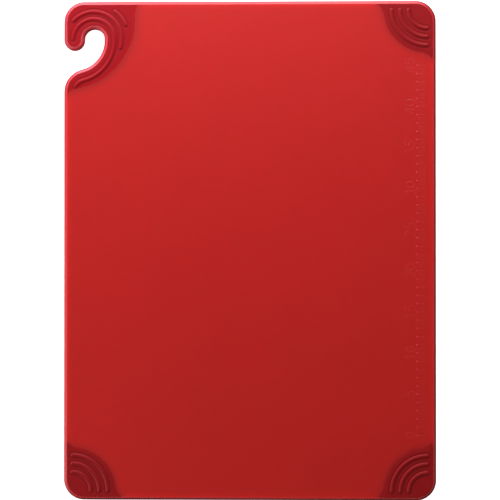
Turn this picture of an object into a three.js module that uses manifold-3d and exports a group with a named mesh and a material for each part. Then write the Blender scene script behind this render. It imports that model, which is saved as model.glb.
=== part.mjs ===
// Kitchen cutting board with a hanging hook cut into one corner and soft non-slip grips in all four.
// Millimetres. +X runs to the right, +Y towards the hook end and +Z out of the upper face.
// The origin is below the middle of the board, level with the crests of the lower grips.

import * as THREE from 'three';
import Module from 'manifold-3d';
import { mergeVertices } from 'three/addons/utils/BufferGeometryUtils.js';

const wasm = await Module();
wasm.setup();

// ---- Driving dimensions ----

// Board
const BOARD_WIDTH = 454.6;
const BOARD_LENGTH = 609.6;
const BOARD_THICKNESS = 12.7;
const CORNER_RADIUS = 25;
const RIM_RADIUS = 4.3; // the rounding of both faces into the sides

// Hanging hook: a finger and a slot of the same width, then a throat that opens to the side
const FINGER_WIDTH = 24.8;
const SEAT_DEPTH = 45.8; // from the board's end down to the middle of the slot's round seat
const TIP_DEPTH = 47; // from the board's end down to the middle of the finger's round tip
const SHOULDER_RADIUS = 28;

// Soft grips
const POCKET_DEPTH = 2;
const CLEARANCE = 0.3; // between a grip and the core, and between two facing studs
const GRIP_PROUD = 0.4;
const RIDGE_RISE = 1.1;
const RIDGE_WIDTH = 5.2;
const RIDGE_CREST_WIDTH = 1.6;
const RIDGE_ROOT = 0.4;
const STUD_RADIUS = 3.6;

// Ruler moulded on the upper face, beside the right edge
const RULER_CENTIMETRES = 45;
const RULER_RISE = 0.25;
const TICK_START = 13.7; // from the right edge
const TICK_LENGTH = 9.7;
const TICK_WIDTH = 0.8;
const NUMERAL_STEP = 5; // centimetres between numerals
const NUMERAL_BASE = 26.3; // from the right edge
const NUMERAL_HEIGHT = 11.4;
const NUMERAL_WIDTH = 0.64; // of its height
const NUMERAL_PITCH = 0.86; // of its height, from one digit to the next
const NUMERAL_STROKE = 1.1;

// How finely round stretches are divided
const ARC_SAG = 0.1; // the most that a chord may cut inside its arc
const STROKE_STEP = 45; // degrees, in numerals
const RIDGE_END_STEPS = 4; // round ends
const STROKE_END_STEPS = 1; // square ends
const STUD_SIDES = 8;

// ---- Places worked out from them ----

const HALF_WIDTH = BOARD_WIDTH / 2;
const HALF_LENGTH = BOARD_LENGTH / 2;
const FACE_HEIGHT = BOARD_THICKNESS / 2; // of a face above or below the middle plane
const GRIP_TOP = FACE_HEIGHT + GRIP_PROUD;
const MIDDLE_Z = GRIP_TOP + RIDGE_RISE; // the middle plane above the lower crests
const SEAT_RADIUS = FINGER_WIDTH / 2;

// Points in a corner are given as u, v: distances in from its side edge and from its end edge.
const TIP_CENTRE = { u: FINGER_WIDTH / 2, v: TIP_DEPTH };
const SEAT_CENTRE = { u: FINGER_WIDTH + SEAT_RADIUS, v: SEAT_DEPTH };
const THROAT_RADIUS = SEAT_CENTRE.u + SEAT_RADIUS - TIP_CENTRE.u;
const SHOULDER_ACROSS = SHOULDER_RADIUS - TIP_CENTRE.u;
const SHOULDER_DOWN = Math.sqrt((THROAT_RADIUS + SHOULDER_RADIUS) ** 2 - SHOULDER_ACROSS ** 2);
const SHOULDER_CENTRE = { u: SHOULDER_RADIUS, v: TIP_CENTRE.v + SHOULDER_DOWN };
const SHOULDER_ANGLE = degrees(Math.atan2(SHOULDER_DOWN, SHOULDER_ACROSS));

// Each corner by its name: the signs of its X and Y, and the grip that sits there.
const CORNERS = {
  hook: { x: -1, y: 1, grip: hookGrip() },
  back_right: { x: 1, y: 1, grip: plainGrip() },
  front_left: { x: -1, y: -1, grip: plainGrip() },
  front_right: { x: 1, y: -1, grip: plainGrip() },
};

// ---- Small helpers ----

function degrees(radians) {
  return THREE.MathUtils.radToDeg(radians);
}

function radians(angle) {
  return THREE.MathUtils.degToRad(angle);
}

function along(centre, distance, angle) {
  return {
    u: centre.u + distance * Math.cos(radians(angle)),
    v: centre.v + distance * Math.sin(radians(angle)),
  };
}

// An arc in a corner's u, v plane, from one angle to another. Angles run from +u towards +v.
function arc(centre, radius, from, to) {
  const curve = new THREE.EllipseCurve(
    centre.u, centre.v, radius, radius, radians(from), radians(to), to < from,
  );
  const step = degrees(2 * Math.acos(1 - ARC_SAG / radius));
  return curve.getPoints(Math.ceil(Math.abs(to - from) / step));
}

// Moves u, v points into the board's own plane, at the corner with these signs.
function atCorner(points, corner) {
  return points.map((point) => new THREE.Vector2(
    corner.x * (HALF_WIDTH - point.x),
    corner.y * (HALF_LENGTH - point.y),
  ));
}

// A closed outline without the doubled points where two tangent arcs meet.
function outline(points) {
  const tooClose = 0.001;
  const kept = points.filter((point, index) => {
    const next = points[(index + 1) % points.length];
    return point.distanceTo(next) > tooClose;
  });
  return new THREE.Shape(kept);
}

// The outline of a stroke of even width along a centre line. Its ends are half circles in endSteps
// pieces, so that one piece makes a square end.
function strokeShape(line, width, endSteps) {
  const half = width / 2;
  const left = [];
  const right = [];
  line.forEach((point, index) => {
    const before = line[Math.max(index - 1, 0)];
    const after = line[Math.min(index + 1, line.length - 1)];
    const normal = after.clone().sub(before).normalize().rotateAround(new THREE.Vector2(), Math.PI / 2);
    left.push(point.clone().addScaledVector(normal, half));
    right.push(point.clone().addScaledVector(normal, -half));
  });
  left.reverse();
  const end = halfCircle(line[line.length - 1], right[right.length - 1], endSteps);
  const start = halfCircle(line[0], left[left.length - 1], endSteps);
  return outline([...right, ...end, ...left, ...start]);
}

// The points between the two ends of a half circle about a centre, anticlockwise from the first end.
function halfCircle(centre, first, steps) {
  const points = [];
  for (let index = 1; index < steps; index += 1) {
    points.push(first.clone().rotateAround(centre, (Math.PI * index) / steps));
  }
  return points;
}

function solidFrom(geometry) {
  geometry.deleteAttribute('normal');
  geometry.deleteAttribute('uv');
  const merged = mergeVertices(geometry);
  return new wasm.Manifold(new wasm.Mesh({
    numProp: 3,
    vertProperties: new Float32Array(merged.attributes.position.array),
    triVerts: new Uint32Array(merged.index.array),
  }));
}

function meshFrom(name, solid, material) {
  const result = solid.getMesh();
  const geometry = new THREE.BufferGeometry();
  geometry.setAttribute('position', new THREE.BufferAttribute(result.vertProperties, 3));
  geometry.setIndex(new THREE.BufferAttribute(result.triVerts, 1));
  geometry.computeVertexNormals();
  const mesh = new THREE.Mesh(geometry, material);
  mesh.name = name;
  return mesh;
}

// A straight-sided plate between two heights measured from the middle plane.
function plate(shape, lowest, highest) {
  const geometry = new THREE.ExtrudeGeometry(shape, { depth: highest - lowest, bevelEnabled: false });
  return solidFrom(geometry.translate(0, 0, lowest));
}

// A plate whose edges are rounded or bevelled above and below, centred on a height.
function roundedPlate(shape, height, centre, roundAcross, roundDown, segments) {
  const depth = height - 2 * roundDown;
  const geometry = new THREE.ExtrudeGeometry(shape, {
    depth,
    bevelSize: roundAcross,
    bevelOffset: -roundAcross,
    bevelThickness: roundDown,
    bevelSegments: segments,
  });
  return solidFrom(geometry.translate(0, 0, centre - depth / 2));
}

function post(radius, lowest, highest, point) {
  const geometry = new THREE.CylinderGeometry(radius, radius, highest - lowest, STUD_SIDES);
  geometry.rotateX(Math.PI / 2);
  return solidFrom(geometry.translate(point.x, point.y, (lowest + highest) / 2));
}

// ---- Board outline ----

// The board's outline, or one set in from it all round by the same distance.
function boardShape(inset) {
  const corner = { u: CORNER_RADIUS, v: CORNER_RADIUS };
  const quarter = arc(corner, CORNER_RADIUS - inset, 180, 270);
  const hookCorner = [
    ...quarter.toReversed(),
    ...arc(TIP_CENTRE, SEAT_RADIUS - inset, 180, 0),
    ...arc(SEAT_CENTRE, SEAT_RADIUS + inset, 180, 360),
    ...arc(TIP_CENTRE, THROAT_RADIUS + inset, 0, SHOULDER_ANGLE),
    ...arc(SHOULDER_CENTRE, SHOULDER_RADIUS - inset, SHOULDER_ANGLE - 180, -180),
  ];
  return outline([
    ...atCorner(hookCorner, CORNERS.hook),
    ...atCorner(quarter, CORNERS.front_left),
    ...atCorner(quarter.toReversed(), CORNERS.front_right),
    ...atCorner(quarter, CORNERS.back_right),
  ]);
}

// ---- Grips ----

// What a grip in a plain corner is made from, in u, v.
function plainGrip() {
  const centre = { u: 10.5, v: 10.5 };
  const ridgeCentre = { u: 11, v: 11.8 };
  const ridges = [22.5, 32.8, 43.1].map((radius) => arc(ridgeCentre, radius, 0, 90));
  const studs = [along(centre, 16, 45), along(centre, 37.9, 20), along(centre, 37.9, 70)];
  return {
    inner: { centre, radius: 53.5, flareRadius: 24, from: 9, to: 81 },
    ridges,
    studs,
  };
}

// What the grip around the hook is made from, in u, v.
function hookGrip() {
  const firstRadius = 25.3;
  const ridgeGap = 8.9;
  const secondRadius = firstRadius + ridgeGap;
  const thirdRadius = secondRadius + ridgeGap;
  const besideThroat = firstRadius + SEAT_CENTRE.u - TIP_CENTRE.u;
  const besideShoulder = SHOULDER_RADIUS + THROAT_RADIUS - besideThroat;
  const ridgeShift = new THREE.Vector2(-0.5, 1.2); // the ridges sit a little further in than the slot
  const hookRidge = [
    ...arc(SEAT_CENTRE, firstRadius, 183, 360),
    ...arc(TIP_CENTRE, besideThroat, 0, SHOULDER_ANGLE),
    ...arc(SHOULDER_CENTRE, besideShoulder, SHOULDER_ANGLE - 180, -148),
  ];
  const ridges = [
    outline(hookRidge).getPoints(),
    arc(SEAT_CENTRE, secondRadius, 223, 377),
    arc(SEAT_CENTRE, thirdRadius, 307, 335),
  ].map((ridge) => ridge.map((point) => point.clone().add(ridgeShift)));
  const studs = [
    TIP_CENTRE,
    along(SEAT_CENTRE, 29.7, 230),
    along(SEAT_CENTRE, 29.7, 290),
    along(SEAT_CENTRE, 38.6, 0),
    along(TIP_CENTRE, 51, 40),
    along(TIP_CENTRE, 51, 68),
  ];
  return {
    inner: { centre: { u: 1, v: 21.6 }, radius: 86.5, flareRadius: 20, from: -3, to: 80 },
    ridges,
    studs,
  };
}

// The part of a corner that its grip fills: one round inner edge that flares out to the rim at both
// ends. A gap pulls that edge back towards the corner.
function gripZone(inner, gap) {
  const beyond = 10; // how far the zone runs past the board's edges
  const radius = inner.radius - gap;
  const flare = inner.flareRadius + gap;
  const first = along(inner.centre, radius + flare, inner.from);
  const last = along(inner.centre, radius + flare, inner.to);
  const firstEnd = 180 + degrees(Math.asin((first.v - RIM_RADIUS) / flare));
  const lastEnd = 180 + degrees(Math.acos((last.u - RIM_RADIUS) / flare));
  const edge = [
    ...arc(first, flare, firstEnd, inner.from + 180),
    ...arc(inner.centre, radius, inner.from, inner.to),
    ...arc(last, flare, inner.to + 180, lastEnd),
  ];
  return [
    ...edge,
    new THREE.Vector2(-beyond, edge[edge.length - 1].y),
    new THREE.Vector2(-beyond, -beyond),
    new THREE.Vector2(edge[0].x, -beyond),
  ];
}

// The plate of a grip, or with no gap the pocket that it lies in, on the upper (1) or lower (-1) face.
function gripPlate(corner, gap, bottom, top, side) {
  const lowest = Math.min(side * bottom, side * top);
  const highest = Math.max(side * bottom, side * top);
  const zone = outline(atCorner(gripZone(corner.grip.inner, gap), corner));
  const inside = plate(boardShape(RIM_RADIUS + gap), lowest, highest);
  return inside.intersect(plate(zone, lowest, highest));
}

function ridge(line, side) {
  const height = 2 * RIDGE_RISE + RIDGE_ROOT;
  const centre = side * (GRIP_TOP + RIDGE_RISE - height / 2);
  const roundAcross = (RIDGE_WIDTH - RIDGE_CREST_WIDTH) / 2;
  const shape = strokeShape(line, RIDGE_WIDTH, RIDGE_END_STEPS);
  return roundedPlate(shape, height, centre, roundAcross, RIDGE_RISE, 1);
}

function studPoints(corner) {
  return atCorner(corner.grip.studs.map((stud) => new THREE.Vector2(stud.u, stud.v)), corner);
}

function buildGrip(corner, side) {
  const bottom = FACE_HEIGHT - POCKET_DEPTH + CLEARANCE;
  let grip = gripPlate(corner, CLEARANCE, bottom, GRIP_TOP, side);
  for (const line of corner.grip.ridges) {
    grip = grip.add(ridge(atCorner(line, corner), side));
  }
  const studEnds = [side * (CLEARANCE / 2), side * (bottom + CLEARANCE)];
  for (const point of studPoints(corner)) {
    grip = grip.add(post(STUD_RADIUS, Math.min(...studEnds), Math.max(...studEnds), point));
  }
  return grip;
}

// ---- Ruler ----

// A curve of a numeral, in units of its height, from one angle to another.
function bend(x, y, radiusX, radiusY, from, to) {
  const curve = new THREE.EllipseCurve(x, y, radiusX, radiusY, radians(from), radians(to), to < from);
  return curve.getPoints(Math.ceil(Math.abs(to - from) / STROKE_STEP));
}

function straight(x1, y1, x2, y2) {
  return [new THREE.Vector2(x1, y1), new THREE.Vector2(x2, y2)];
}

// The strokes of the numerals, in units of their height: x along the text, y up from its base line.
function numeralStrokes(digit) {
  const strokes = {
    0: [bend(0.32, 0.5, 0.32, 0.5, 0, 180), bend(0.32, 0.5, 0.32, 0.5, 180, 360)],
    1: [straight(0.14, 0.8, 0.4, 1), straight(0.4, 1, 0.4, 0)],
    2: [
      [...bend(0.32, 0.7, 0.3, 0.3, 165, -30), ...straight(0.5, 0.48, 0.02, 0)],
      straight(0.02, 0, 0.64, 0),
    ],
    3: [bend(0.3, 0.75, 0.26, 0.25, 150, -90), bend(0.3, 0.25, 0.3, 0.25, 90, -150)],
    4: [straight(0.48, 1, 0, 0.3), straight(0, 0.3, 0.66, 0.3), straight(0.48, 1, 0.48, 0)],
    5: [
      straight(0.6, 1, 0.12, 1),
      straight(0.12, 1, 0.06, 0.54),
      bend(0.3, 0.32, 0.32, 0.32, 140, -145),
    ],
  };
  return strokes[digit];
}

// A number read from the front of the board towards its hook end, centred on its tick.
function raisedNumber(number, tickY) {
  const digits = String(number).split('');
  const length = (digits.length - 1) * NUMERAL_PITCH + NUMERAL_WIDTH;
  const solids = [];
  digits.forEach((digit, index) => {
    for (const stroke of numeralStrokes(digit)) {
      const line = stroke.map((point) => new THREE.Vector2(
        HALF_WIDTH - NUMERAL_BASE - NUMERAL_HEIGHT * point.y,
        tickY + NUMERAL_HEIGHT * (point.x + index * NUMERAL_PITCH - length / 2),
      ));
      const shape = strokeShape(line, NUMERAL_STROKE, STROKE_END_STEPS);
      solids.push(plate(shape, FACE_HEIGHT - RULER_RISE, FACE_HEIGHT + RULER_RISE));
    }
  });
  return solids;
}

function tick(tickY) {
  const geometry = new THREE.BoxGeometry(TICK_LENGTH, TICK_WIDTH, 2 * RULER_RISE);
  return solidFrom(geometry.translate(HALF_WIDTH - TICK_START - TICK_LENGTH / 2, tickY, FACE_HEIGHT));
}

function rulerSolids() {
  const solids = [];
  for (let centimetre = 0; centimetre <= RULER_CENTIMETRES; centimetre += 1) {
    const tickY = 10 * (centimetre - RULER_CENTIMETRES / 2);
    solids.push(tick(tickY));
    if (centimetre % NUMERAL_STEP === 0) {
      solids.push(...raisedNumber(centimetre, tickY));
    }
  }
  return solids;
}

// ---- Core ----

function buildCore() {
  let core = roundedPlate(boardShape(0), BOARD_THICKNESS, 0, RIM_RADIUS, RIM_RADIUS, 3);
  for (const corner of Object.values(CORNERS)) {
    for (const side of [1, -1]) {
      const floor = FACE_HEIGHT - POCKET_DEPTH;
      core = core.subtract(gripPlate(corner, 0, floor, FACE_HEIGHT + 1, side));
    }
    for (const point of studPoints(corner)) {
      core = core.subtract(post(STUD_RADIUS + CLEARANCE, -FACE_HEIGHT, FACE_HEIGHT, point));
    }
  }
  for (const solid of rulerSolids()) {
    core = core.add(solid);
  }
  return core;
}

// ---- Materials and assembly ----

const boardPlastic = new THREE.MeshStandardMaterial({ color: '#b82a28', roughness: 0.55, metalness: 0 });
const gripRubber = new THREE.MeshStandardMaterial({ color: '#8f1f24', roughness: 0.45, metalness: 0 });

const board = new THREE.Group();
board.name = 'cutting_board';
board.position.z = MIDDLE_Z;
board.add(meshFrom('board_core', buildCore(), boardPlastic));
for (const [name, corner] of Object.entries(CORNERS)) {
  board.add(meshFrom(`${name}_grip_upper`, buildGrip(corner, 1), gripRubber));
  board.add(meshFrom(`${name}_grip_lower`, buildGrip(corner, -1), gripRubber));
}

export default board;
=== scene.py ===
"""A red kitchen cutting board with a hanging hook and soft corner grips, seen from straight above.

Every length is in metres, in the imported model's frame: +X towards the ruler side, +Y towards the
hook end, +Z out of the upper face. Places in a corner are given as u, v: distances in from its side
edge and from its end edge.
"""

import math

import bmesh
import bpy
import numpy as np
from mathutils import Matrix, Vector
from mathutils.geometry import delaunay_2d_cdt


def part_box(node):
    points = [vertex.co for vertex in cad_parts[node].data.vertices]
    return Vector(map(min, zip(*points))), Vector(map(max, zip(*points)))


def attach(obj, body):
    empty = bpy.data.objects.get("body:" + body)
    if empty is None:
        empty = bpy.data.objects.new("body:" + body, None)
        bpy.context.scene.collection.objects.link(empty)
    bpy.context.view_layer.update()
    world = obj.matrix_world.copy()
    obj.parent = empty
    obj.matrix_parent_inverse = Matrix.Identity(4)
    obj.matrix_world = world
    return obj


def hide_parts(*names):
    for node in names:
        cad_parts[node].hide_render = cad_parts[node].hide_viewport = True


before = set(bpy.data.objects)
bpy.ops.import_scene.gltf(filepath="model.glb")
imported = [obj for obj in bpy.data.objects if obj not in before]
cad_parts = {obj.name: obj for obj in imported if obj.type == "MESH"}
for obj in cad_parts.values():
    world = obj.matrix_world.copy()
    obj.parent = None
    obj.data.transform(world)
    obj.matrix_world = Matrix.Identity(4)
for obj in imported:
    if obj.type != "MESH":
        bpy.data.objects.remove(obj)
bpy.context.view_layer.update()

# ---------------------------------------------------------------- sizes

MM = 0.001

# Board
core_low, core_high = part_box("board_core")
HALF_WIDTH = core_high.x
HALF_LENGTH = core_high.y
BOARD_THICKNESS = 12.7 * MM
LOWER_FACE = core_low.z
UPPER_FACE = LOWER_FACE + BOARD_THICKNESS
CORNER_RADIUS = 25 * MM

# Rim: a shallow bevel round both faces, with a rounded outer edge
RIM_WIDTH = 4.3 * MM
BEVEL_TILT = math.radians(20)
EDGE_RADIUS = 3.0 * MM
BREAK_RADIUS = 1.0 * MM  # where the bevel turns into the flat face
EDGE_STEPS = 8
BREAK_STEPS = 3

# Painted highlight on the rim, strongest along the sides that face the lights: how far it pales
# the rim along the ends, by the sign of Y, and along the sides, by the sign of X. Round the hook
# the rim is paler all round, at 1.
END_SHEEN = {1: 0.2, -1: 0.12}
SIDE_SHEEN = {-1: 0.3, 1: 0.12}

# Painted shade: how dark the line round the rim is along the ends and the sides, and round the
# hook. It is darkest along the front end and the right side, which face away from the lights.
END_DARK = {1: 0.3, -1: 1.0}
SIDE_DARK = {-1: 0.3, 1: 0.75}
HOOK_DARK = 0.25
DARK_LINE_END = 2.6 * MM
DARK_LINE_BLUR = 0.4 * MM
# Distances in from the board's side, and the line's painted shade there as shares of its darkest.
DARK_LINE = (
    (0, 0.6 * MM, 1.0 * MM, DARK_LINE_END - DARK_LINE_BLUR, DARK_LINE_END),
    (0.1, 0.3, 1, 1, 0),
)

EDGE_GLOW = 12 * MM  # how far in from its side the board is lighter, by a painted glow for light through it
EDGE_GLOW_POWER = 1.5  # over 1, so that the glow falls off fast

# Hanging hook
FINGER_WIDTH = 24.8 * MM
SEAT_RADIUS = FINGER_WIDTH / 2
SHOULDER_RADIUS = 28 * MM
TIP_CENTRE = np.array((FINGER_WIDTH / 2, 47 * MM))
SEAT_CENTRE = np.array((FINGER_WIDTH + SEAT_RADIUS, 45.8 * MM))
THROAT_RADIUS = SEAT_CENTRE[0] + SEAT_RADIUS - TIP_CENTRE[0]
SHOULDER_ACROSS = SHOULDER_RADIUS - TIP_CENTRE[0]
SHOULDER_DOWN = math.sqrt((THROAT_RADIUS + SHOULDER_RADIUS) ** 2 - SHOULDER_ACROSS**2)
SHOULDER_CENTRE = np.array((SHOULDER_RADIUS, TIP_CENTRE[1] + SHOULDER_DOWN))
SHOULDER_ANGLE = math.degrees(math.atan2(SHOULDER_DOWN, SHOULDER_ACROSS))

# Soft grips
grip_low, grip_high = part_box("hook_grip_upper")
POCKET_DEPTH = 2 * MM
GRIP_PROUD = 0.4 * MM
RIDGE_RISE = grip_high.z - UPPER_FACE - GRIP_PROUD
RIDGE_WIDTH = 4.6 * MM
RIDGE_STEPS = 8
GROOVE_WIDTH = 2.2 * MM  # beside each ridge
GROOVE_DEPTH = 0.2 * MM
GROOVE_SHADE = 0.3  # painted shade: how far the bottom of a groove is darkened
SEAM = 0.05 * MM  # between a grip and the walls of its pocket
FEATHER = 5 * MM  # how far in from its inner edge a grip thins out
EDGE_ROUNDING = 0.3 * MM  # where a grip meets the rim
PLAIN_BLEND = 1.5 * MM  # how far in from its inner edge a grip reaches its own colour
HOOK_BLEND = 5 * MM

# Ruler
RULER_CENTIMETRES = 45
MARK_RISES = {10: 0.08 * MM, 5: 0.05 * MM, 1: 0.03 * MM}
NUMERAL_RISE = 0.1 * MM
BEAD_WIDTH = 2.7 * MM
BEAD_RISE = 0.2 * MM
BEAD_SHEEN = 1.0  # how strongly a painted highlight pales a bead's top
BEAD_LINE = np.array(((0.0, 0.0), (0.1 * MM, 0.0)))  # so short that the bead is nearly round
TICK_START = 13.7 * MM  # from the right edge
TICK_LENGTHS = {10: 9.7 * MM, 5: 7.6 * MM, 1: 6 * MM}  # by the millimetres that they mark
TICK_WIDTHS = {10: 0.8 * MM, 5: 0.6 * MM, 1: 0.5 * MM}
NUMERAL_STEP = 5
NUMERAL_BASE = 26.3 * MM  # from the right edge
NUMERAL_HEIGHT = 11.4 * MM
NUMERAL_WIDTH = 0.64  # of its height
NUMERAL_PITCH = 0.86  # of its height
NUMERAL_STROKE = 1.1 * MM

CHORD = 1.2 * MM  # the length of a straight piece of a curve
SAME_PLACE = 0.002 * MM  # points closer than this are welded into one
QUARTERS = (0.25, 0.5, 0.75, 1)
LEVEL = 0.99999  # upward share of a face's normal, from which it is shaded flat
SHARP_ANGLE = 42  # degrees: a steeper edge isn't shaded smooth


# ---------------------------------------------------------------- outlines, in a corner's u, v

def arc(centre, radius, start, end, offset=0.0):
    """Points on an arc, angles in degrees from +u towards +v. offset changes its radius but not
    the number of its points, so that offset arcs keep the same points."""
    pieces = max(3, math.ceil(radius * math.radians(abs(end - start)) / CHORD))
    angles = np.radians(np.linspace(start, end, pieces + 1))
    reach = radius + offset
    return np.column_stack((centre[0] + reach * np.cos(angles), centre[1] + reach * np.sin(angles)))


def along(centre, distance, angle):
    turn = math.radians(angle)
    return np.array((centre[0] + distance * math.cos(turn), centre[1] + distance * math.sin(turn)))


def without_doubles(points, closed=False):
    """The same points, without those that sit on the next one."""
    following = np.roll(points, -1, axis=0)
    keep = np.linalg.norm(following - points, axis=1) > 0.01 * MM
    if not closed:
        keep[-1] = True
    return points[keep]


def plain_grip():
    """The grip in a corner with no hook: its inner edge and its ridges."""
    ridge_centre = (11 * MM, 11.8 * MM)
    return {
        "centre": (10.5 * MM, 10.5 * MM),
        "radius": 53.5 * MM,
        "flare": 24 * MM,
        "from": 9,
        "to": 81,
        "ridges": [arc(ridge_centre, radius * MM, 0, 90) for radius in (22.5, 32.8, 43.1)],
    }


def hook_grip():
    """The grip round the hook: its ridges run round the seat, and one goes on down the throat."""
    first = 25.3 * MM
    gap = 8.9 * MM
    beside_throat = first + SEAT_CENTRE[0] - TIP_CENTRE[0]
    beside_shoulder = SHOULDER_RADIUS + THROAT_RADIUS - beside_throat
    shift = np.array((-0.5 * MM, 1.2 * MM))  # the ridges sit a little further in than the slot
    hook_ridge = np.vstack((
        arc(SEAT_CENTRE, first, 183, 360),
        arc(TIP_CENTRE, beside_throat, 0, SHOULDER_ANGLE),
        arc(SHOULDER_CENTRE, beside_shoulder, SHOULDER_ANGLE - 180, -148),
    ))
    return {
        "centre": (1 * MM, 21.6 * MM),
        "radius": 86.5 * MM,
        "flare": 20 * MM,
        "from": -3,
        "to": 80,
        "ridges": [
            without_doubles(hook_ridge) + shift,
            arc(SEAT_CENTRE, first + gap, 223, 377) + shift,
            arc(SEAT_CENTRE, first + 2 * gap, 307, 335) + shift,
        ],
    }


# The corners anticlockwise from the hook: the signs of X and Y, and the grip.
CORNERS = {
    "hook": (-1, 1, hook_grip()),
    "front_left": (-1, -1, plain_grip()),
    "front_right": (1, -1, plain_grip()),
    "back_right": (1, 1, plain_grip()),
}
# At these the anticlockwise way round the board runs from the side edge to the end edge.
SIDE_FIRST = ("front_left", "back_right")


def inner_edge(grip, gap=0.0, clear=0.0):
    """A grip's inner edge, from the end edge to the side edge: one round stretch that flares out
    to the rim at both ends. A gap pulls it back towards the corner, and clear stops it short of
    the rim."""
    radius = grip["radius"] - gap
    flare = grip["flare"] + gap
    first = along(grip["centre"], radius + flare, grip["from"])
    last = along(grip["centre"], radius + flare, grip["to"])
    rim = RIM_WIDTH + clear
    first_end = 180 + math.degrees(math.asin(min(1, (first[1] - rim) / flare)))
    last_end = 180 + math.degrees(math.acos(min(1, (last[0] - rim) / flare)))
    return without_doubles(np.vstack((
        arc(first, flare, first_end, grip["from"] + 180),
        arc(grip["centre"], radius, grip["from"], grip["to"]),
        arc(last, flare, grip["to"] + 180, last_end),
    )))


def corner_run(name, inset):
    """The board's outline round one corner, set in by a distance, from the end edge to the side
    edge. It starts and stops level with the ends of the grip's inner edge."""
    grip = CORNERS[name][2]
    edge = inner_edge(grip)
    start = (edge[0][0], inset)
    stop = (inset, edge[-1][1])
    corner_centre = (CORNER_RADIUS, CORNER_RADIUS)
    run = [start, *arc(corner_centre, CORNER_RADIUS, 270, 180, -inset)]
    if name == "hook":
        run += [
            *arc(TIP_CENTRE, SEAT_RADIUS, 180, 0, -inset),
            *arc(SEAT_CENTRE, SEAT_RADIUS, 180, 360, inset),
            *arc(TIP_CENTRE, THROAT_RADIUS, 0, SHOULDER_ANGLE, inset)[1:],
            *arc(SHOULDER_CENTRE, SHOULDER_RADIUS, SHOULDER_ANGLE - 180, -180, -inset)[1:],
        ]
    return np.array([*run, stop])


def in_board(points, name):
    """Moves u, v points at a corner into the board's X, Y."""
    sign_x, sign_y, _ = CORNERS[name]
    return np.column_stack((
        sign_x * (HALF_WIDTH - points[:, 0]),
        sign_y * (HALF_LENGTH - points[:, 1]),
    ))


def corner_by_corner(make_run):
    """Runs for the four corners, joined anticlockwise, from a function that makes each corner's
    run from the end edge to the side edge."""
    runs = []
    for name in CORNERS:
        run = make_run(name)
        runs.append(run[::-1] if name in SIDE_FIRST else run)
    return np.concatenate(runs)


def round_the_board(make_run):
    """One loop round the board, from a function that makes each corner's run in u, v."""
    return corner_by_corner(lambda name: in_board(make_run(name), name))


def stroke_loop(line, half_width, end_steps=8):
    """The closed outline at an even distance from a centre line, with round ends."""
    ahead = np.gradient(line, axis=0)
    ahead /= np.linalg.norm(ahead, axis=1)[:, None]
    normal = np.column_stack((-ahead[:, 1], ahead[:, 0]))
    turns = np.linspace(0, math.pi, end_steps + 1)[1:-1]

    def end(point, side, out):
        return [point + half_width * (math.cos(t) * side + math.sin(t) * out) for t in turns]

    return np.vstack((
        line - half_width * normal,
        end(line[-1], -normal[-1], ahead[-1]),
        (line + half_width * normal)[::-1],
        end(line[0], normal[0], -ahead[0]),
    ))


def distance_to(points, line):
    """How far each point is from a line of straight pieces."""
    start = line[:-1]
    piece = line[1:] - start
    length = (piece**2).sum(axis=1)
    offset = points[:, None, :] - start[None, :, :]
    share = np.clip((offset * piece).sum(axis=2) / length, 0, 1)
    return np.linalg.norm(offset - share[:, :, None] * piece, axis=2).min(axis=1)


# ---------------------------------------------------------------- building meshes

SHARES = ("grip_tint", "pale_rim", "dark")  # of other colours, kept at each point of a mesh


class Shell:
    """Collects the points and faces of one mesh, and at each point its shares of other colours."""

    def __init__(self):
        self.points = []
        self.shares = {name: [] for name in SHARES}
        self.faces = []

    def add(self, plane_points, height, **shares):
        """Adds points of one height, or of a height each, and returns their numbers."""
        count = len(plane_points)
        first = len(self.points)
        heights = np.broadcast_to(height, count)
        self.points += [(x, y, z) for (x, y), z in zip(plane_points, heights)]
        for name, values in self.shares.items():
            values += list(np.broadcast_to(shares.get(name, 0.0), count))
        return list(range(first, first + count))

    def add_face(self, plane, triangles, heights, **shares):
        """Adds a face of triangles."""
        numbers = self.add(plane, heights, **shares)
        for triangle in triangles:
            self.face([numbers[corner] for corner in triangle])

    def face(self, corners):
        self.faces.append(tuple(corners))

    def band(self, lower, upper, closed=True):
        """Quads between two runs of points. Seen from outside, the upper run goes left to right."""
        count = len(lower)
        for index in range(count if closed else count - 1):
            after = (index + 1) % count
            self.face((lower[index], lower[after], upper[after], upper[index]))

    def make(self, name, material):
        """Welds the points that share a place and makes the object, smooth but for level faces."""
        mesh = bpy.data.meshes.new(name)
        mesh.from_pydata(self.points, [], self.faces)
        for attribute_name, values in self.shares.items():
            attribute = mesh.attributes.new(attribute_name, "FLOAT", "POINT")
            attribute.data.foreach_set("value", np.array(values, np.float32))
        mesh.materials.append(material)
        piece = bpy.data.objects.new(name, mesh)
        bpy.context.scene.collection.objects.link(piece)
        weld(mesh)
        mesh.set_sharp_from_angle(angle=math.radians(SHARP_ANGLE))
        sloping = [abs(polygon.normal.z) < LEVEL for polygon in mesh.polygons]
        mesh.polygons.foreach_set("use_smooth", sloping)
        return piece


def weld(mesh):
    """Joins the points of a mesh that share a place, and turns its faces outwards."""
    work = bmesh.new()
    work.from_mesh(mesh)
    bmesh.ops.remove_doubles(work, verts=work.verts, dist=SAME_PLACE)
    bmesh.ops.recalc_face_normals(work, faces=work.faces)
    work.to_mesh(mesh)
    work.free()


def fill(boundary, lines):
    """Triangles inside a closed boundary, with edges along the lines that lie in it. Returns the
    plane points and the triangles."""
    points = []
    edges = []
    for line, closed in [(boundary, True)] + lines:
        first = len(points)
        count = len(line)
        points += [Vector((x / MM, y / MM)) for x, y in line]
        for index in range(count if closed else count - 1):
            edges.append((first + index, first + (index + 1) % count))
    inside_constraints = 1
    result = delaunay_2d_cdt(points, edges, [], inside_constraints, 1e-5)
    plane = np.array([(p.x, p.y) for p in result[0]]) * MM
    return plane, [tuple(face) for face in result[2]]


# ---------------------------------------------------------------- ruler

MARK_SHARES = (0.35, 0.7, 1.0)  # of a mark's half width, where lines of its mesh run beside it


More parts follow.
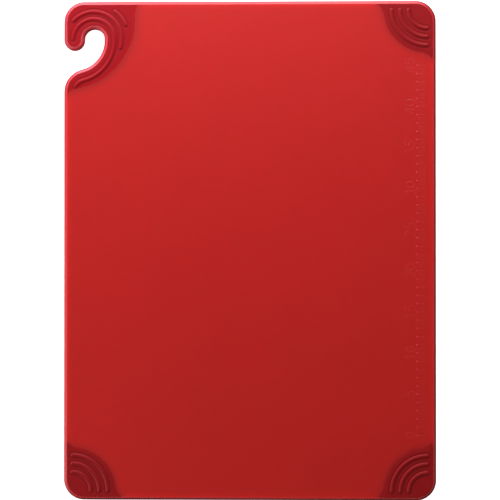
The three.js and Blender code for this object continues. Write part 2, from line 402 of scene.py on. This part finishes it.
def bend(x, y, radius_x, radius_y, start, end):
    """A curve of a numeral, in units of its height."""
    pieces = math.ceil(abs(end - start) / 15)
    angles = np.radians(np.linspace(start, end, pieces + 1))
    return np.column_stack((x + radius_x * np.cos(angles), y + radius_y * np.sin(angles)))


# The strokes of the numerals, in units of their height: x along the text, y up from its base line.
NUMERALS = {
    "0": [bend(0.32, 0.5, 0.32, 0.5, 0, 180), bend(0.32, 0.5, 0.32, 0.5, 180, 360)],
    "1": [[(0.14, 0.8), (0.4, 1)], [(0.4, 1), (0.4, 0)]],
    "2": [[*bend(0.32, 0.7, 0.3, 0.3, 165, -30), (0.5, 0.48), (0.02, 0)], [(0.02, 0), (0.64, 0)]],
    "3": [bend(0.3, 0.75, 0.26, 0.25, 150, -90), bend(0.3, 0.25, 0.3, 0.25, 90, -150)],
    "4": [[(0.48, 1), (0, 0.3)], [(0, 0.3), (0.66, 0.3)], [(0.48, 1), (0.48, 0)]],
    "5": [[(0.6, 1), (0.12, 1)], [(0.12, 1), (0.06, 0.54)], bend(0.3, 0.32, 0.32, 0.32, 140, -145)],
}


def number_lines(number, tick_y):
    """The centre lines of a number read from the front of the board towards its hook end, centred
    on its tick."""
    digits = str(number)
    length = (len(digits) - 1) * NUMERAL_PITCH + NUMERAL_WIDTH
    lines = []
    for place, digit in enumerate(digits):
        for stroke in NUMERALS[digit]:
            across, up = np.array(stroke, float).T
            lines.append(np.column_stack((
                HALF_WIDTH - NUMERAL_BASE - NUMERAL_HEIGHT * up,
                tick_y + NUMERAL_HEIGHT * (across + place * NUMERAL_PITCH - length / 2),
            )))
    return lines


def ruler_marks():
    """Every mark of the ruler as its centre line, its width and its height. Each centimetre's line
    ends in a bead."""
    marks = []
    start_x = HALF_WIDTH - TICK_START
    for millimetre in range(10 * RULER_CENTIMETRES + 1):
        tick_y = (millimetre - 5 * RULER_CENTIMETRES) * MM
        step = next(size for size in TICK_LENGTHS if millimetre % size == 0)
        line = np.array(((start_x, tick_y), (start_x - TICK_LENGTHS[step], tick_y)))
        marks.append((line, TICK_WIDTHS[step], MARK_RISES[step]))
        if step == 10:
            marks.append((line[1] + BEAD_LINE, BEAD_WIDTH, BEAD_RISE))
        if millimetre % (10 * NUMERAL_STEP) == 0:
            for stroke in number_lines(millimetre // 10, tick_y):
                marks.append((stroke, NUMERAL_STROKE, NUMERAL_RISE))
    return marks


def mark_lines():
    """The lines that the ruler's marks need in the mesh of the face."""
    lines = []
    for line, width, _ in ruler_marks():
        lines.append((line, False))
        for share in MARK_SHARES:
            lines.append((stroke_loop(line, share * width / 2, 4), True))
    return lines


def mark_heights(plane):
    """How high the ruler's marks lift each point of the face."""
    heights = np.zeros(len(plane))
    for line, width, rise in ruler_marks():
        reach = width / 2
        low = line.min(axis=0) - reach
        high = line.max(axis=0) + reach
        near = np.flatnonzero(((plane >= low) & (plane <= high)).all(axis=1))
        from_line = np.clip(distance_to(plane[near], line) / reach, 0, 1)
        lift = rise * (1 - from_line**2)
        heights[near] = np.maximum(heights[near], lift)
    return heights


# ---------------------------------------------------------------- board

def rim_profile():
    """The section of the rim from the board's side up to its face: distances in from the side,
    drops below the face, and shares of how pale the rim is made, mostly by a painted highlight,
    and of how dark its painted line of shade is."""
    edge_end = EDGE_RADIUS * (1 - math.sin(BEVEL_TILT))
    break_start = RIM_WIDTH - BREAK_RADIUS * math.sin(BEVEL_TILT)
    break_drop = BREAK_RADIUS * (1 - math.cos(BEVEL_TILT))
    edge_drop = break_drop + (break_start - edge_end) * math.tan(BEVEL_TILT)
    section = []
    for steepness in np.linspace(1, 0, EDGE_STEPS + 1):
        tilt = BEVEL_TILT + steepness * (math.pi / 2 - BEVEL_TILT)
        drop = edge_drop + EDGE_RADIUS * (math.cos(BEVEL_TILT) - math.cos(tilt))
        section.append((EDGE_RADIUS * (1 - math.sin(tilt)), drop, 1 - math.sqrt(steepness)))
    for inset in (DARK_LINE_END - DARK_LINE_BLUR, DARK_LINE_END):
        drop = break_drop + (break_start - inset) * math.tan(BEVEL_TILT)
        section.append((inset, drop, 1))
    for tilt in np.linspace(BEVEL_TILT, 0, BREAK_STEPS + 1):
        inset = RIM_WIDTH - BREAK_RADIUS * math.sin(tilt)
        section.append((inset, BREAK_RADIUS * (1 - math.cos(tilt)), 1))
    return [(inset, drop, pale, np.interp(inset, *DARK_LINE)) for inset, drop, pale in section]


def rubbed(name, inset):
    """How pale the rim is along a corner's run: most round the hook, which is paler all round, and
    elsewhere a painted highlight that fades to nothing round the middle of the other corners."""
    sign_x, sign_y, _ = CORNERS[name]
    end_share = END_SHEEN[sign_y]
    side_share = SIDE_SHEEN[sign_x]
    turn = np.linspace(0, 1, len(corner_run(name, inset)) - 2)
    if name == "hook":
        along_turn = np.ones(len(turn))
    else:
        from_middle = np.abs(2 * turn - 1)
        along_turn = from_middle**4 * np.where(turn < 0.5, end_share, side_share)
    return np.array((end_share, *along_turn, side_share))


def line_shares(name, inset):
    """How dark the line of painted shade round the rim is along a corner's run."""
    sign_x, sign_y, _ = CORNERS[name]
    turn = np.linspace(0, 1, len(corner_run(name, inset)))
    if name == "hook":
        return np.full(len(turn), HOOK_DARK)
    return np.interp(turn, (0, 1), (END_DARK[sign_y], SIDE_DARK[sign_x]))


# How strongly the board turns towards a grip's colour, by the distance from its inner edge.
PLAIN_FADE = {0.0: 0.6, 1 * MM: 0.42, 2.5 * MM: 0.23, 5 * MM: 0.09, 9 * MM: 0.0}
HOOK_FADE = {0.0: 0.65, 1.5 * MM: 0.5, 3.5 * MM: 0.3, 5.5 * MM: 0.17, 8 * MM: 0.08, 12 * MM: 0.0}
FADE_CLEAR = 0.4 * MM  # between the ends of a fade's lines and the rim


def fade_for(name):
    return HOOK_FADE if name == "hook" else PLAIN_FADE


def pocket_outline(name):
    """The edge of a grip's pocket, anticlockwise in X, Y: along the rim, then back along its
    inner edge."""
    rim = corner_run(name, RIM_WIDTH)
    inner = inner_edge(CORNERS[name][2])
    loop = in_board(np.vstack((rim, inner[::-1][1:-1])), name)
    return loop[::-1] if name in SIDE_FIRST else loop


def field_face(extra_lines):
    """The flat face between the grips, as triangles, with lines beside each grip for its fade."""
    edge = round_the_board(lambda name: inner_edge(CORNERS[name][2]))
    lines = list(extra_lines)
    for name, (_, _, grip) in CORNERS.items():
        for gap in list(fade_for(name))[1:]:
            lines.append((in_board(inner_edge(grip, -gap, FADE_CLEAR), name), False))
    return fill(edge, lines)


def fade_strengths(points):
    """How strongly the board turns towards the nearest grip's colour at each point."""
    strengths = np.zeros(len(points))
    for name, (_, _, grip) in CORNERS.items():
        away = distance_to(points, in_board(inner_edge(grip), name))
        fade = fade_for(name)
        strengths = np.maximum(strengths, np.interp(away, list(fade), list(fade.values())))
    return strengths


def add_half(shell, up):
    """The upper half of the board, or the lower one with up = -1."""
    face = UPPER_FACE if up > 0 else LOWER_FACE
    rings = []
    for inset, drop, pale, dark in rim_profile():
        run = round_the_board(lambda name: corner_run(name, inset))
        # painted highlight along the rim, and the paler rim round the hook
        pale_share = pale * corner_by_corner(lambda name: rubbed(name, inset))
        # painted shade: the dark line round the rim
        dark_share = dark * corner_by_corner(lambda name: line_shares(name, inset))
        rings.append(shell.add(run, face - up * drop, pale_rim=pale_share, dark=dark_share))
    for outer, inner in zip(rings, rings[1:]):
        shell.band(outer, inner)
    plane, triangles = field_face(mark_lines() if up > 0 else [])
    lift = mark_heights(plane) if up > 0 else np.zeros(len(plane))
    # painted highlight on the raised tops of the ruler's marks, strongest on the beads
    pale = BEAD_SHEEN * np.clip(lift / BEAD_RISE, 0, 1) ** 2
    tint = fade_strengths(plane)
    shell.add_face(plane, triangles, face + lift, grip_tint=tint, pale_rim=pale)
    for name in CORNERS:
        outline = pocket_outline(name)
        top = shell.add(outline, face)
        floor = shell.add(outline, face - up * POCKET_DEPTH)
        shell.band(floor, top)
        shell.face(floor)
    return rings[0]


def make_board(material):
    shell = Shell()
    upper = add_half(shell, 1)
    lower = add_half(shell, -1)
    shell.band(lower, upper)
    return shell.make("board_body", material)


# ---------------------------------------------------------------- grips

def grip_outline(name, rim_inset=0.0, gap=0.0):
    """The edge of a grip's top, anticlockwise in X, Y, set in from the rim and from its inner
    edge."""
    rim = corner_run(name, RIM_WIDTH + SEAM + rim_inset)
    inner = inner_edge(CORNERS[name][2], SEAM + gap, SEAM + rim_inset)
    rim[0] = inner[0]
    rim[-1] = inner[-1]
    loop = in_board(np.vstack((rim, inner[::-1][1:-1])), name)
    return loop[::-1] if name in SIDE_FIRST else loop


def grip_face(name):
    """A grip's top as triangles, with lines where its surface bends, how high each point stands
    above the board's face, and how deep it is in a groove."""
    grip = CORNERS[name][2]
    ridges = [in_board(line, name) for line in grip["ridges"]]
    lines = []
    for share in QUARTERS:
        lines.append((grip_outline(name, share * EDGE_ROUNDING, share * FEATHER), True))
    for ridge in ridges:
        lines.append((ridge, False))
        for step in range(1, RIDGE_STEPS + 1):
            half_width = RIDGE_WIDTH / 2 * step / RIDGE_STEPS
            lines.append((stroke_loop(ridge, half_width), True))
        for share in QUARTERS:
            lines.append((stroke_loop(ridge, RIDGE_WIDTH / 2 + share * GROOVE_WIDTH), True))
    plane, triangles = fill(grip_outline(name), lines)
    return plane, triangles, grip_heights(name, plane, ridges), groove_shares(plane, ridges)


def grip_heights(name, plane, ridges):
    """How high each point of a grip's top stands above the board's face: thin at its inner edge,
    rounded at the rim, with ridges and the grooves beside them."""
    inner = in_board(inner_edge(CORNERS[name][2], SEAM), name)
    rim = in_board(corner_run(name, RIM_WIDTH + SEAM), name)
    from_inner = np.clip(distance_to(plane, inner) / FEATHER, 0, 1)
    heights = GRIP_PROUD * from_inner**2 * (3 - 2 * from_inner)
    from_rim = np.clip(1 - distance_to(plane, rim) / EDGE_ROUNDING, 0, 1)
    heights -= EDGE_ROUNDING * (1 - np.sqrt(1 - from_rim**2))
    for ridge in ridges:
        from_crest = np.clip(distance_to(plane, ridge) / (RIDGE_WIDTH / 2), 0, 1)
        heights += RIDGE_RISE * (1 - from_crest**2)
    return heights - GROOVE_DEPTH * groove_shares(plane, ridges)


def groove_shares(plane, ridges):
    """How deep each point is in a groove beside a ridge, from 0 to 1."""
    shares = np.zeros(len(plane))
    for ridge in ridges:
        across = np.clip((distance_to(plane, ridge) - RIDGE_WIDTH / 2) / GROOVE_WIDTH, 0, 1)
        shares = np.maximum(shares, 4 * across * (1 - across))
    return shares


def grip_tints(name, plane):
    """A grip's own colour is mixed with the board's at its inner edge, where it is thin."""
    inner = in_board(inner_edge(CORNERS[name][2], SEAM), name)
    reach = HOOK_BLEND if name == "hook" else PLAIN_BLEND
    return np.interp(distance_to(plane, inner), (0, reach), (fade_for(name)[0.0], 1))


def make_grip(name, up, face_of_grip, material):
    """A grip on the upper face, or on the lower one with up = -1."""
    plane, triangles, heights, grooves = face_of_grip
    face = UPPER_FACE if up > 0 else LOWER_FACE
    shell = Shell()
    tint = grip_tints(name, plane)
    # painted shade in the grooves beside the ridges
    dark = GROOVE_SHADE * grooves
    shell.add_face(plane, triangles, face + up * heights, grip_tint=tint, dark=dark)
    outline = grip_outline(name)
    edge_tint = grip_tints(name, outline)
    edge_height = face + up * grip_heights(name, outline, [])
    edge = shell.add(outline, edge_height, grip_tint=edge_tint)
    bottom = shell.add(outline, face - up * (POCKET_DEPTH - SEAM), grip_tint=edge_tint)
    shell.band(bottom, edge)
    shell.face(bottom)
    side = "upper" if up > 0 else "lower"
    return shell.make(f"{name}_grip_{side}_soft", material)


# ---------------------------------------------------------------- materials

BOARD_COLOUR = (0.47, 0.008, 0.005, 1)
# a lighter red for the painted glow near the board's sides
EDGE_GLOW_COLOUR = (0.65, 0.0105, 0.0075, 1)
# pale pink for the painted highlight on the rim and the ruler's marks, and the paler hook rim
PALE_AND_SHEEN_COLOUR = (0.64, 0.05, 0.066, 1)
# painted shade, for the line round the rim and the grooves beside the ridges
PAINTED_SHADE_COLOUR = (0.05, 0.003, 0.003, 1)
PLAIN_GRIP_COLOUR = (0.24, 0.006, 0.007, 1)
# painted light: the same rubber as the other grips, lighter for the stronger light at the hook
LIT_HOOK_GRIP_COLOUR = (0.28, 0.0045, 0.0075, 1)


CLOUD_SCALE = 14.0
SPECK_SCALE = 900.0
CLOUD_SHADES = (0.985, 1.015)
ROUGHNESS_SPREAD = 0.06
PLASTIC_IOR = 1.49


def add_node(material, kind, **inputs):
    """Adds a shader node and sets its inputs, each to a value or to another node's output."""
    node = material.node_tree.nodes.new(kind)
    for name, value in inputs.items():
        socket = node.inputs[name.replace("_", " ")]
        if isinstance(value, bpy.types.NodeSocket):
            material.node_tree.links.new(value, socket)
        else:
            socket.default_value = value
    return node


def blend(material, share, first, second):
    """A colour that turns from the first into the second as a node's output goes from 0 to 1."""
    mix = material.node_tree.nodes.new("ShaderNodeMix")
    mix.data_type = "RGBA"
    sockets = [socket for socket in mix.inputs if socket.enabled]
    for socket, value in zip(sockets, (share, first, second)):
        if isinstance(value, bpy.types.NodeSocket):
            material.node_tree.links.new(value, socket)
        else:
            socket.default_value = value
    return next(socket for socket in mix.outputs if socket.enabled)


def mesh_value(material, attribute_name):
    attribute = material.node_tree.nodes.new("ShaderNodeAttribute")
    attribute.attribute_name = attribute_name
    return attribute.outputs["Fac"]


def edge_closeness(material):
    """The mask of the painted glow: 1 at the board's sides, down to 0 well inside them."""
    place = add_node(material, "ShaderNodeTexCoord").outputs["Object"]
    parts = add_node(material, "ShaderNodeSeparateXYZ", Vector=place)
    shares = []
    for axis, half_size in (("X", HALF_WIDTH), ("Y", HALF_LENGTH)):
        out = material.node_tree.nodes.new("ShaderNodeMath")
        out.operation = "ABSOLUTE"
        material.node_tree.links.new(parts.outputs[axis], out.inputs[0])
        shares.append(map_range(material, out.outputs[0], half_size - EDGE_GLOW, half_size, 0, 1))
    nearest = material.node_tree.nodes.new("ShaderNodeMath")
    nearest.operation = "MAXIMUM"
    for share, socket in zip(shares, nearest.inputs):
        material.node_tree.links.new(share, socket)
    falling = material.node_tree.nodes.new("ShaderNodeMath")
    falling.operation = "POWER"
    material.node_tree.links.new(nearest.outputs[0], falling.inputs[0])
    falling.inputs[1].default_value = EDGE_GLOW_POWER
    return falling.outputs[0]


def map_range(material, value, low, high, to_low, to_high):
    node = add_node(
        material, "ShaderNodeMapRange",
        Value=value, From_Min=low, From_Max=high, To_Min=to_low, To_Max=to_high,
    )
    return node.outputs["Result"]


def moulded(name, colour, roughness, gloss, grain):
    """A moulded material with a fine grain. The colour is a node's output."""
    material = bpy.data.materials.new(name)
    material.use_nodes = True
    nodes = material.node_tree.nodes
    shader = nodes["Principled BSDF"]
    place = nodes.new("ShaderNodeTexCoord").outputs["Object"]
    cloud = add_node(material, "ShaderNodeTexNoise", Vector=place, Scale=CLOUD_SCALE, Detail=3.0)
    speck = add_node(material, "ShaderNodeTexNoise", Vector=place, Scale=SPECK_SCALE, Detail=2.0)
    cloudy = map_range(material, cloud.outputs["Fac"], 0.3, 0.7, *CLOUD_SHADES)
    shade = add_node(material, "ShaderNodeHueSaturation", Color=colour(material), Value=cloudy)
    roughest = roughness + ROUGHNESS_SPREAD
    smoothest = roughness - ROUGHNESS_SPREAD
    rough = map_range(material, speck.outputs["Fac"], 0, 1, smoothest, roughest)
    bump = add_node(
        material, "ShaderNodeBump", Height=speck.outputs["Fac"], Distance=grain, Strength=0.6
    )
    material.node_tree.links.new(shade.outputs["Color"], shader.inputs["Base Color"])
    material.node_tree.links.new(rough, shader.inputs["Roughness"])
    material.node_tree.links.new(bump.outputs["Normal"], shader.inputs["Normal"])
    shader.inputs["IOR"].default_value = PLASTIC_IOR
    shader.inputs["Specular IOR Level"].default_value = gloss
    return material


def board_plastic():
    """Slightly translucent red plastic. A painted glow lightens it near its sides, standing for
    light that passes through the plastic. A painted highlight pales its rim, and round the hook the
    rim is paler all round. A painted dark line of shade runs round its edge, and the board turns
    towards the grips' colour near their inner edges."""

    def colour(material):
        # painted glow, lighter towards the board's sides
        body = blend(material, edge_closeness(material), BOARD_COLOUR, EDGE_GLOW_COLOUR)
        tinted = blend(material, mesh_value(material, "grip_tint"), body, PLAIN_GRIP_COLOUR)
        # painted highlight along the rim and on the ruler's marks, and the paler rim round the hook
        pale_and_sheen_colour = blend(material, mesh_value(material, "pale_rim"), tinted, PALE_AND_SHEEN_COLOUR)
        # painted shade: the dark line round the rim
        return blend(material, mesh_value(material, "dark"), pale_and_sheen_colour, PAINTED_SHADE_COLOUR)

    material = moulded("board_plastic", colour, 0.4, 0.42, 0.02 * MM)
    shader = material.node_tree.nodes["Principled BSDF"]
    shader.inputs["Subsurface Weight"].default_value = 1.0
    shader.inputs["Subsurface Radius"].default_value = (6.0, 1.2, 0.9)
    shader.inputs["Subsurface Scale"].default_value = MM
    return material


def grip_rubber(name, grip_colour):
    """Soft matte rubber that blends into the board's colour where it thins out, with painted shade
    in the grooves beside its ridges.
    """

    def colour(material):
        tinted = blend(material, mesh_value(material, "grip_tint"), BOARD_COLOUR, grip_colour)
        # painted shade in the grooves beside the ridges
        return blend(material, mesh_value(material, "dark"), tinted, PAINTED_SHADE_COLOUR)

    return moulded(name, colour, 0.5, 0.1, 0.01 * MM)


# ---------------------------------------------------------------- stage, light and camera

def make_floor():
    """A white table under the board, wide enough to fill every view."""
    material = bpy.data.materials.new("white_table")
    material.use_nodes = True
    shader = material.node_tree.nodes["Principled BSDF"]
    shader.inputs["Base Color"].default_value = (0.9, 0.9, 0.9, 1)
    shader.inputs["Roughness"].default_value = 0.9
    shader.inputs["Emission Color"].default_value = (1, 1, 1, 1)
    shader.inputs["Emission Strength"].default_value = 1.0
    mesh = bpy.data.meshes.new("table_top")
    reach = 6.0
    corners = [(-reach, -reach, 0), (reach, -reach, 0), (reach, reach, 0), (-reach, reach, 0)]
    mesh.from_pydata(corners, [], [(0, 1, 2, 3)])
    mesh.materials.append(material)
    floor = bpy.data.objects.new("table_top", mesh)
    floor.visible_diffuse = False
    floor.visible_glossy = False
    bpy.context.scene.collection.objects.link(floor)


def add_light(name, place, size, radiance, colour):
    """A soft light panel, given by its width and height, that faces the middle of the board. Its
    power follows from how bright it looks."""
    light = bpy.data.lights.new(name, "AREA")
    light.shape = "RECTANGLE"
    light.size, light.size_y = size
    light.energy = radiance * math.pi * size[0] * size[1]
    light.color = colour
    lamp = bpy.data.objects.new(name, light)
    lamp.location = place
    lamp.rotation_euler = Vector(place).to_track_quat("Z", "Y").to_euler()
    bpy.context.scene.collection.objects.link(lamp)


STUDIO_STRENGTH = 0.9
# How bright the studio is at each height of a direction, from the horizon, 0, to straight up, 1.
# It is dark below, and again round the camera.
STUDIO = ((0.0, 0.0), (0.04, 0.4), (0.6, 0.6), (0.85, 0.5), (0.97, 0.06))
# Each light panel: its place, its width and height, its radiance and its colour.
LIGHTS = {
    "top_light": ((-0.14, 1.02, 0.49), (1.3, 0.7), 8.2, (0.97, 1.0, 1.14)),
    "left_light": ((-1.15, -0.4, 0.35), (1.3, 0.5), 4.9, (1.0, 1.0, 1.1)),
}


def light_the_scene():
    """The studio round the board, and its light panels."""
    world = bpy.data.worlds.new("studio")
    world.use_nodes = True
    nodes = world.node_tree.nodes
    links = world.node_tree.links
    direction = nodes.new("ShaderNodeTexCoord").outputs["Generated"]
    parts = nodes.new("ShaderNodeSeparateXYZ")
    links.new(direction, parts.inputs["Vector"])
    ramp = nodes.new("ShaderNodeValToRGB")
    links.new(parts.outputs["Z"], ramp.inputs["Fac"])
    stops = ramp.color_ramp.elements
    while len(stops) < len(STUDIO):
        stops.new(0.5)
    for stop, (height, brightness) in zip(stops, STUDIO):
        stop.position = height
        stop.color = (brightness, brightness, brightness, 1)
    background = nodes["Background"]
    links.new(ramp.outputs["Color"], background.inputs["Color"])
    background.inputs["Strength"].default_value = STUDIO_STRENGTH
    bpy.context.scene.world = world
    for name, (place, size, radiance, colour) in LIGHTS.items():
        add_light(name, place, size, radiance, colour)


CAMERA_PLACE = Vector((0.034, -0.011, 1.71))
CAMERA_AIM = Vector((0.0006, 0.0005, UPPER_FACE))
PICTURE_WIDTH = 0.6099  # of what the picture shows round the point that the camera aims at


def add_camera():
    """The camera over the board, with the lens that its picture's width asks for."""
    camera = bpy.data.cameras.new("camera")
    away = CAMERA_PLACE - CAMERA_AIM
    camera.lens = camera.sensor_width * away.length / PICTURE_WIDTH
    eye = bpy.data.objects.new("camera", camera)
    eye.location = CAMERA_PLACE
    right = Vector((0, 1, 0)).cross(away).normalized()
    up = away.cross(right).normalized()
    eye.rotation_euler = Matrix((right, up, away.normalized())).transposed().to_euler()
    bpy.context.scene.collection.objects.link(eye)
    bpy.context.scene.camera = eye


# ---------------------------------------------------------------- the board, put together

def settle(piece, slot_name, *nodes):
    """Makes a piece ride on the part's one body and stand for its CAD nodes."""
    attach(piece, "root")
    if nodes:
        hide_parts(*nodes)


def build():
    settle(make_board(board_plastic()), "board_plastic", "board_core")
    for name in CORNERS:
        # painted light: the hook's grip gets a lighter copy of the rubber's colour
        grip_colour = LIT_HOOK_GRIP_COLOUR if name == "hook" else PLAIN_GRIP_COLOUR
        rubber = grip_rubber(f"{name}_rubber", grip_colour)
        face_of_grip = grip_face(name)
        for side, up in (("upper", 1), ("lower", -1)):
            piece = make_grip(name, up, face_of_grip, rubber)
            settle(piece, "grip_rubber", f"{name}_grip_{side}")


build()
make_floor()
light_the_scene()
add_camera()
bpy.context.scene.view_settings.view_transform = "Standard"
